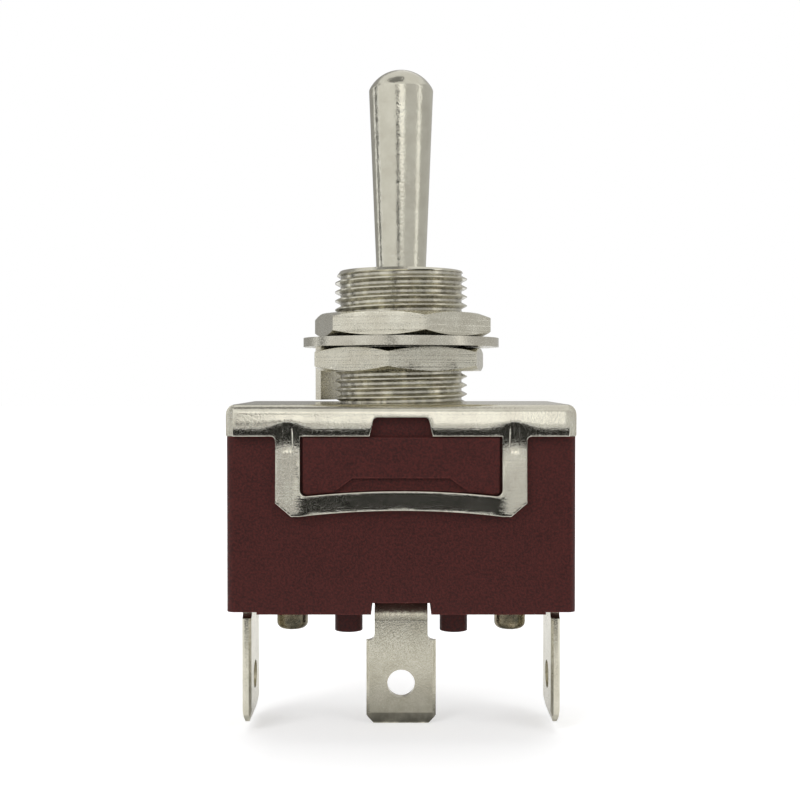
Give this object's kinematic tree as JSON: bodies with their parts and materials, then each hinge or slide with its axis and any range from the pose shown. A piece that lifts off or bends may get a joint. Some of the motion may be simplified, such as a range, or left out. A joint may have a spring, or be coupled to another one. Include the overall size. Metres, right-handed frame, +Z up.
{
  "type": "toggle switch",
  "caption": "Bat-handle toggle switch with threaded bushing, hexagon nuts, locking washer, folded steel frame, moulded case and flat tab terminals.",
  "frame": {"origin": "on the bushing's axis, at the level of the tab tips", "axes": "+Z up along the lever, +X along the case, +Y to the back, the side of the keyway"},
  "size_m": [0.0296, 0.0176, 0.059],
  "materials": {
    "lever": "polished nickel plate",
    "bushing": "nickel plate, turned thread",
    "nuts": "satin nickel plate",
    "washer": "zinc plate",
    "frame": "satin nickel plate",
    "housing": "moulded phenolic",
    "insulator": "pressed fibre sheet",
    "rocker": "plain",
    "contacts": "silver",
    "terminals": "nickel plate on brass",
    "rivets": "tarnished",
    "plunger": "moulded nylon",
    "spring": "drawn wire"
  },
  "bodies": {
    "base": {"bushing": "bushing", "upper_nut": "nuts", "lower_nut": "nuts", "locking_washer": "washer", "frame": "frame", "insulator": "insulator", "housing": "housing", "fixed_contact_left": "contacts", "fixed_contact_right": "contacts", "rocker_cradle": "rocker", "terminal_left": "terminals", "terminal_center": "terminals", "terminal_right": "terminals", "rivet_left": "rivets", "rivet_right": "rivets", "rivet_center": "rivets"},
    "lever": {"lever": "lever", "pivot_pin": "lever", "plunger_spring": "spring"},
    "plunger": {"plunger": "plunger"},
    "rocker": {"rocker": "rocker", "moving_contact_left": "contacts", "moving_contact_right": "contacts"}
  },
  "joints": [
    {"name": "lever_tilt", "type": "hinge", "parent": "base", "child": "lever", "pos_m": [0, 0, 0.0334], "axis": [0, 1, 0], "range_deg": [-12, 12]},
    {"name": "plunger_slide", "type": "slide", "parent": "lever", "child": "plunger", "axis": [0, 0, 1], "range_m": [0, 0.0008], "stiffness_N_per_m": 500, "springref_m": -0.002, "deforming": ["plunger_spring"]},
    {"name": "rocker_tilt", "type": "hinge", "parent": "base", "child": "rocker", "pos_m": [0, 0, 0.0176], "axis": [0, 1, 0], "range_deg": [-5.4, 5.4]}
  ],
  "couplings": [
    {"joint": "rocker_tilt", "follows": "lever_tilt", "ratio": -0.45}
  ]
}
